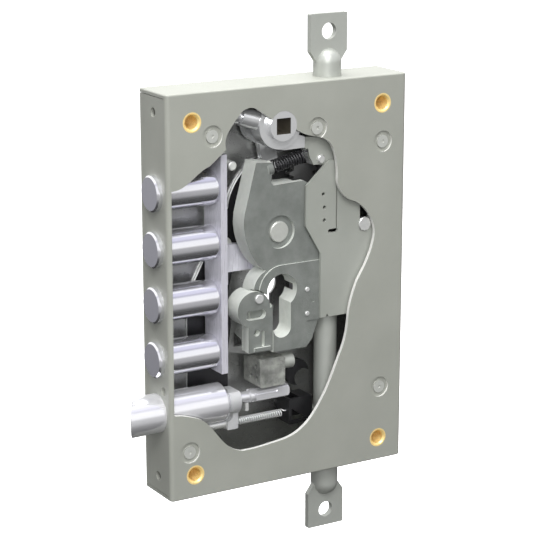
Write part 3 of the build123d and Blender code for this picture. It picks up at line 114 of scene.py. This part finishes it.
class Finish:
    """One procedural material: a Principled shader with textures in the object's own metres."""

    def __init__(self, name, metallic):
        self.material = bpy.data.materials.new(name)
        self.material.use_nodes = True
        self.tree = self.material.node_tree
        self.shader = next(node for node in self.tree.nodes if node.type == "BSDF_PRINCIPLED")
        self.shader.inputs["Metallic"].default_value = metallic
        self.place = self.tree.nodes.new("ShaderNodeTexCoord").outputs["Object"]

    def link(self, out, into):
        self.tree.links.new(out, into)

    def noise(self, size, detail=3.0, rough=0.55, along=None):
        """Noise with features of about the given size. Along squeezes it, for brushed or turned marks."""
        node = self.tree.nodes.new("ShaderNodeTexNoise")
        node.inputs["Scale"].default_value = 1 / size
        node.inputs["Detail"].default_value = detail
        node.inputs["Roughness"].default_value = rough
        place = self.place
        if along is not None:
            mapping = self.tree.nodes.new("ShaderNodeMapping")
            mapping.inputs["Scale"].default_value = along
            self.link(place, mapping.inputs["Vector"])
            place = mapping.outputs["Vector"]
        self.link(place, node.inputs["Vector"])
        return node.outputs["Fac"]

    def spread(self, value, before, after):
        """A value moved from one range to another."""
        node = self.tree.nodes.new("ShaderNodeMapRange")
        node.inputs["From Min"].default_value = before[0]
        node.inputs["From Max"].default_value = before[1]
        node.inputs["To Min"].default_value = after[0]
        node.inputs["To Max"].default_value = after[1]
        self.link(value, node.inputs["Value"])
        return node.outputs["Result"]

    def blend(self, value, first, second):
        """A colour between two, by a value from 0 to 1."""
        return mix_colours(self.tree, value, first, second)

    def two_tone(self, size, first, second):
        """Patches of two screen colours."""
        return self.blend(self.noise(size), linear(*first), linear(*second))

    def both(self, first, second):
        """1 where both masks are 1."""
        node = self.tree.nodes.new("ShaderNodeMath")
        node.operation = "MULTIPLY"
        self.link(first, node.inputs[0])
        self.link(second, node.inputs[1])
        return node.outputs[0]

    def cut_edges(self):
        """1 on the cut edges of a plate, 0 on its faces to the front and the back."""
        normal = self.tree.nodes.new("ShaderNodeTexCoord").outputs["Normal"]
        parts = self.tree.nodes.new("ShaderNodeSeparateXYZ")
        self.link(normal, parts.inputs[0])
        size = self.tree.nodes.new("ShaderNodeMath")
        size.operation = "ABSOLUTE"
        self.link(parts.outputs["Y"], size.inputs[0])
        return self.spread(size.outputs[0], EDGE_RANGE, (1.0, 0.0))

    def in_rectangle(self, middle, half_wide, half_high):
        """1 where the point lies inside a rectangle, seen from the front."""
        parts = self.tree.nodes.new("ShaderNodeSeparateXYZ")
        self.link(self.place, parts.inputs[0])
        inside = []
        for axis, centre, half in (("X", middle[0], half_wide), ("Z", middle[2], half_high)):
            near = self.tree.nodes.new("ShaderNodeMath")
            near.operation = "COMPARE"
            near.inputs[1].default_value = centre
            near.inputs[2].default_value = half
            self.link(parts.outputs[axis], near.inputs[0])
            inside.append(near.outputs[0])
        return self.both(*inside)

    def colour(self, out):
        self.link(out, self.shader.inputs["Base Color"])

    def paint(self, mask, colour):
        """Another colour where the mask is 1, over the colour that the finish has."""
        painted = self.shader.inputs["Base Color"].links[0].from_socket
        self.colour(self.blend(mask, painted, colour))

    def roughness(self, out):
        self.link(out, self.shader.inputs["Roughness"])

    def bump(self, height, depth):
        """Relief of the given depth."""
        node = self.tree.nodes.new("ShaderNodeBump")
        node.inputs["Strength"].default_value = 1.0
        node.inputs["Distance"].default_value = depth
        self.link(height, node.inputs["Height"])
        self.link(node.outputs["Normal"], self.shader.inputs["Normal"])

    def give(self, *names):
        for name in names:
            for slot in nodes_of[name].material_slots:
                slot.material = self.material


def sheet_finish(name, colour, darker, roughness):
    """Satin sheet steel: an even grey-green with a faint mottling."""
    finish = Finish(name, 0.0)
    mottle = finish.spread(finish.noise(0.03, 4.0), PATCH_RANGE, (0.0, 1.0))
    finish.colour(finish.blend(mottle, linear(*darker), linear(*colour)))
    fine = finish.noise(0.0006, 2.0)
    finish.roughness(finish.spread(fine, GRAIN_RANGE, (roughness - SHEET_STRAY, roughness + SHEET_STRAY)))
    finish.bump(fine, 0.00001)
    return finish


def polished_finish(name, metallic, colour, roughness, along):
    """Polished steel with faint turning marks."""
    finish = Finish(name, metallic)
    marks = finish.noise(0.0004, 2.0, along=along)
    bright = linear(*colour)
    dimmer = (*(share * POLISHED_DIM for share in bright[:3]), 1.0)
    finish.colour(finish.blend(finish.noise(0.01, 2.0), bright, dimmer))
    finish.roughness(finish.spread(marks, GRAIN_RANGE, [roughness * stray for stray in POLISHED_STRAY]))
    finish.bump(marks, 0.000002)
    return finish


def cast_finish(name, colour, darker, grain, depth):
    """Cast metal with a fine grain."""
    finish = Finish(name, 0.2)
    skin = finish.noise(grain, 5.0, 0.7)
    patches = finish.spread(finish.noise(0.008), PATCH_RANGE, (0.0, 1.0))
    finish.colour(finish.blend(patches, linear(*darker), linear(*colour)))
    finish.roughness(finish.spread(skin, GRAIN_RANGE, CAST_ROUGHNESS))
    finish.bump(skin, depth)
    return finish


def metal_finish(name, metallic, colours, patch, grain, roughness, relief, along=None):
    """Plain metal: patches of two colours, and a grain in its roughness and relief."""
    finish = Finish(name, metallic)
    finish.colour(finish.two_tone(patch, *colours))
    marks = finish.noise(grain, along=along)
    finish.roughness(finish.spread(marks, GRAIN_RANGE, roughness))
    finish.bump(marks, relief)
    return finish


def cover_and_slider():
    """The case, with pale cut edges round its window and recesses, partly bare metal and partly a painted
    highlight, and the plates inside.
    """
    cover = sheet_finish("cover_sheet", (166, 168, 160), (160, 162, 154), 0.45)
    low, high = (Vector(corner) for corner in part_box("front_cover"))
    half = (high - low) / 2
    window = cover.in_rectangle((low + high) / 2, half.x - COVER_MARGIN, half.z - COVER_MARGIN)
    # Painted highlight: the cut edges are pale all round, bare metal with the light they catch painted in
    pale = cover.two_tone(0.001, (242, 242, 238), (222, 222, 218))
    cover.paint(cover.both(window, cover.cut_edges()), pale)
    cover.give("front_cover")
    slider = sheet_finish("slider_sheet", (166, 169, 162), (158, 161, 154), 0.42)
    slider.give("slider_plate", "hub_plate")


def polished_pieces():
    """The bolts, the latch and the hub, whose square hole has dull brown walls."""
    turned = (0.02, 1.0, 1.0)
    bolts = polished_finish("polished_bolts", 0.88, (236, 236, 241), 0.11, turned)
    bolts.give("deadbolt_1", "deadbolt_2", "deadbolt_3", "deadbolt_4")
    latch = polished_finish("polished_latch", 0.62, (240, 240, 244), 0.13, turned)
    latch.give("latch_bolt")
    hub = polished_finish("polished_hub", 0.62, (232, 233, 234), 0.14, (1.0, 1.0, 1.0))
    hole = hub.in_rectangle(HUB_AXIS, HUB_HOLE_REACH, HUB_HOLE_REACH)
    walls = hub.two_tone(0.003, (122, 116, 104), (106, 101, 91))
    hub.paint(hub.both(hole, hub.cut_edges()), walls)
    hub.give("handle_hub", "hub_roller")


def cast_pieces():
    """The cast body and pawl with a painted highlight on their flanks, the latch's collar and the coarse
    block.
    """
    cast = cast_finish("cast_body", (136, 140, 136), (122, 126, 122), 0.0009, 0.00016)
    # Painted highlight: the flanks and side walls are pale, as if lit from above
    cast.paint(cast.cut_edges(), cast.two_tone(0.004, (240, 243, 237), (216, 220, 214)))
    cast.give("mechanism_body", "stop_pawl")
    collar = cast_finish("collar_cast", (206, 207, 208), (192, 193, 195), 0.0009, 0.00006)
    collar.give("latch_collar")
    block = cast_finish("rough_cast", (176, 178, 172), (120, 122, 118), 0.0012, 0.0009)
    block.give("cast_block")


# Name, metallic, two colours, patch size, grain size, roughness, relief, CAD nodes
PLAIN_METALS = [
    ("back_sheet", 0.9, ((160, 161, 160), (178, 179, 178)), 0.02, 0.0008, (0.26, 0.38), 0.000006,
     ("back_plate", "slide_guide", "guide_plate")),
    ("brass", 0.2, ((255, 232, 165), (255, 220, 142)), 0.003, 0.0003, (0.22, 0.36), 0.000004,
     ("fixing_inserts",)),
    ("rivet_steel", 0.4, ((212, 214, 208), (194, 196, 190)), 0.002, 0.0004, (0.32, 0.46), 0.000008,
     ("cover_rivets", "body_legs", "body_screws", "bolt_rivets", "lever_pivot", "pinion_pin", "gear_axle")),
    ("rod_steel", 0.3, ((184, 187, 181), (172, 175, 169)), 0.01, 0.0006, (0.36, 0.48), 0.00001,
     ("lower_rod", "lower_rod_end", "upper_rod", "upper_rod_end", "block_shaft")),
    ("gear_steel", 0.8, ((120, 120, 120), (100, 100, 100)), 0.004, 0.0005, (0.3, 0.44), 0.00001,
     ("throw_gear", "reversing_pinion", "rod_rack", "lower_block", "upper_block")),
    ("dark_steel", 0.6, ((52, 52, 54), (40, 40, 42)), 0.006, 0.0006, (0.28, 0.42), 0.00001,
     ("latch_bracket", "latch_cam")),
    ("pin_steel", 0.6, ((236, 237, 235), (220, 221, 219)), 0.002, 0.0003, (0.16, 0.28), 0.000003,
     ("body_pins", "hub_pin", "pawl_pin", "slider_guide_pin", "lever_stop", "latch_hook", "latch_plunger")),
    ("black_spring", 0.3, ((66, 66, 68), (46, 46, 48)), 0.001, 0.0004, (0.2, 0.3), 0.000003,
     ("hub_spring",)),
    ("silver_spring", 0.4, ((240, 241, 241), (224, 226, 226)), 0.001, 0.0003, (0.15, 0.25), 0.000003,
     ("latch_spring",)),
]


def other_metals():
    """The plain metals, the brushed bar behind the bolts, and the dark lever with its bright edge."""
    for *numbers, names in PLAIN_METALS:
        metal_finish(*numbers).give(*names)
    bar = metal_finish("bolt_bar", 0.2, ((214, 213, 222), (204, 203, 212)), 0.01, 0.0005, (0.24, 0.36),
                       0.000004, along=(1.0, 1.0, 0.05))
    bar.give("bolt_carrier", "bolt_slide")
    lever = metal_finish("lever_steel", 0.6, ((60, 60, 62), (46, 46, 48)), 0.006, 0.0006, (0.28, 0.42),
                         0.00001)
    lever.paint(lever.cut_edges(), lever.two_tone(0.002, (240, 240, 240), (220, 220, 220)))
    lever.give("latch_lever")


def spring_piece(node):
    """A spring as a piece of its own, a copy of the node's mesh fixed to the case."""
    coil = bpy.data.objects.new(node + "_coil", nodes_of[node].data.copy())
    bpy.context.scene.collection.objects.link(coil)
    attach(coil, "case")
    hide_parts(node)
    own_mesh(coil)


def springs():
    """The hub's spring and the latch's spring, each made a piece of its own on the case."""
    spring_piece("hub_spring")
    spring_piece("latch_spring")


# Bands of the sky, each with its height from -1 to 1 and its colour
SKY_GLOW = [(-1.0, (0.06, 0.06, 0.06)), (0.0, (0.22, 0.22, 0.22)), (1.0, (0.5, 0.5, 0.5))]
SKY_FRONT = [(-1.0, (0.01, 0.01, 0.01)), (-0.78, (0.02, 0.02, 0.02)), (-0.6, (0.08, 0.08, 0.08)),
             (-0.4, (0.36, 0.36, 0.36)), (-0.05, (0.46, 0.46, 0.46)), (0.1, (1.1, 1.1, 1.1)),
             (0.5, (1.05, 1.05, 1.08)), (0.62, (0.5, 0.5, 0.6)), (0.72, (0.76, 0.75, 0.92)),
             (0.84, (0.82, 0.82, 1.0)), (0.87, (1.3, 1.3, 1.3)), (1.0, (1.3, 1.3, 1.3))]
SKY_BEHIND = [(-1.0, (0.01, 0.01, 0.01)), (-0.5, (0.05, 0.05, 0.05)), (-0.3, (0.22, 0.22, 0.24)),
              (-0.1, (0.4, 0.4, 0.43)), (0.08, (1.3, 1.3, 1.3)), (1.0, (1.3, 1.3, 1.3))]
SIDE_BLEND = 0.12


def sky_band(tree, value, stops):
    """A colour ramp over a value from -1 to 1."""
    spread = tree.nodes.new("ShaderNodeMapRange")
    spread.inputs["From Min"].default_value = -1.0
    tree.links.new(value, spread.inputs["Value"])
    ramp = tree.nodes.new("ShaderNodeValToRGB")
    band = ramp.color_ramp
    while len(band.elements) < len(stops):
        band.elements.new(0.5)
    for element, (place, colour) in zip(band.elements, stops):
        element.position = (place + 1) / 2
        element.color = (*colour, 1.0)
    tree.links.new(spread.outputs["Result"], ramp.inputs["Fac"])
    return ramp.outputs["Color"]


def studio():
    """A dim even sky that lights, a banded one that the polished steel mirrors, and a white ground."""
    world = bpy.data.worlds.new("studio")
    bpy.context.scene.world = world
    world.use_nodes = True
    tree = world.node_tree
    background = next(node for node in tree.nodes if node.type == "BACKGROUND")
    way = tree.nodes.new("ShaderNodeTexCoord").outputs["Generated"]
    parts = tree.nodes.new("ShaderNodeSeparateXYZ")
    tree.links.new(way, parts.inputs[0])
    glow, front, behind = (sky_band(tree, parts.outputs["Z"], stops)
                           for stops in (SKY_GLOW, SKY_FRONT, SKY_BEHIND))
    side = tree.nodes.new("ShaderNodeMapRange")
    side.interpolation_type = "SMOOTHSTEP"
    side.inputs["From Min"].default_value = -SIDE_BLEND
    side.inputs["From Max"].default_value = SIDE_BLEND
    tree.links.new(parts.outputs["Y"], side.inputs["Value"])
    mirrored = mix_colours(tree, side.outputs["Result"], front, behind)
    paths = tree.nodes.new("ShaderNodeLightPath")
    lit = mix_colours(tree, paths.outputs["Is Glossy Ray"], glow, mirrored)
    seen = mix_colours(tree, paths.outputs["Is Camera Ray"], lit, (1.0, 1.0, 1.0, 1.0))
    tree.links.new(seen, background.inputs["Color"])
    background.inputs["Strength"].default_value = 1.0


def area_light(name, place, side, power):
    """A square soft light that looks at the middle of the lock."""
    data = bpy.data.lights.new(name, "AREA")
    data.shape = "RECTANGLE"
    data.size = side
    data.size_y = side
    data.energy = power
    lamp = bpy.data.objects.new(name, data)
    bpy.context.scene.collection.objects.link(lamp)
    lamp.location = place
    lamp.rotation_euler = (-Vector(place)).to_track_quat("-Z", "Y").to_euler()


def floor():
    """A large pale floor under the lower rod, clear of its tip at the end of its travel."""
    low = cad_box[0][2] - FLOOR_DROP
    sides = [(-1, -1), (1, -1), (1, 1), (-1, 1)]
    corners = [(FLOOR_REACH * x, FLOOR_REACH * y, low) for x, y in sides]
    mesh = bpy.data.meshes.new("floor")
    mesh.from_pydata(corners, [], [(0, 1, 2, 3)])
    obj = bpy.data.objects.new("floor", mesh)
    bpy.context.scene.collection.objects.link(obj)
    finish = Finish("floor", 0.0)
    finish.colour(finish.blend(finish.noise(0.4), (0.96, 0.96, 0.96, 1.0), (0.94, 0.94, 0.94, 1.0)))
    finish.shader.inputs["Roughness"].default_value = 0.9
    finish.shader.inputs["Emission Color"].default_value = (1.0, 1.0, 1.0, 1.0)
    finish.shader.inputs["Emission Strength"].default_value = 1.0
    obj.data.materials.append(finish.material)
    obj.visible_glossy = False
    obj.visible_diffuse = False
    obj.visible_shadow = False


def camera():
    """The photograph's view, fitted to the case's corners."""
    level = math.cos(CAMERA_PITCH)
    forward = Vector((math.sin(CAMERA_YAW) * level, math.cos(CAMERA_YAW) * level, -math.sin(CAMERA_PITCH)))
    right = forward.cross(Vector((0, 0, 1))).normalized()
    up = right.cross(forward)
    data = bpy.data.cameras.new("camera")
    data.lens = CAMERA_LENS
    data.sensor_width = 36.0
    data.clip_start = 0.01
    obj = bpy.data.objects.new("camera", data)
    bpy.context.scene.collection.objects.link(obj)
    turn = Matrix((right, up, -forward)).transposed().to_4x4()
    obj.matrix_world = Matrix.Translation(CAMERA_PLACE) @ turn
    bpy.context.scene.camera = obj


cover_and_slider()
polished_pieces()
cast_pieces()
other_metals()
springs()
studio()
# Each light with its place, its side in metres and its power in watts
area_light("top_light", (-0.1, 0.1, 1.3), 1.0, 22.0)
area_light("key_light", (-0.5, -1.0, 1.2), 0.7, 16.0)
area_light("front_light", (-0.8, -1.5, 0.5), 0.6, 11.0)
floor()
camera()
bpy.context.scene.view_settings.view_transform = "Standard"
